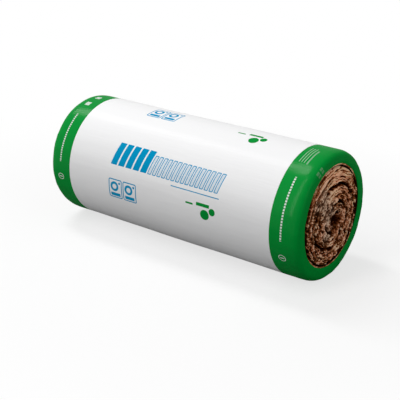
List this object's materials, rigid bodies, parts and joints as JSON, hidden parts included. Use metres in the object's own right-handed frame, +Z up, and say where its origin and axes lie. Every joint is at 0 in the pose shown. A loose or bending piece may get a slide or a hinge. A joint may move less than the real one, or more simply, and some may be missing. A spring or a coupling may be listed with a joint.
{
  "type": "insulation roll",
  "caption": "Glass wool blanket rolled up tight in a plastic film sleeve with coloured ends, open in the middle of each end, where the turns of brown wool show.",
  "frame": {"origin": "on the floor, under the middle of the lying roll", "axes": "+X along the roll's axis, towards the end that the turns are drawn from; +Z up; +Y across the roll, to the left when looking along +X"},
  "size_m": [1.2, 0.4934, 0.4934],
  "materials": {
    "film": "thin white polyethylene film, smooth and softly glossy, printed green over both ends",
    "wool": "brown glass wool, matt, fibrous and layered, with paler tufts"
  },
  "bodies": {
    "root": {"film_sleeve": "film", "wool_roll": "wool"}
  },
  "joints": []
}
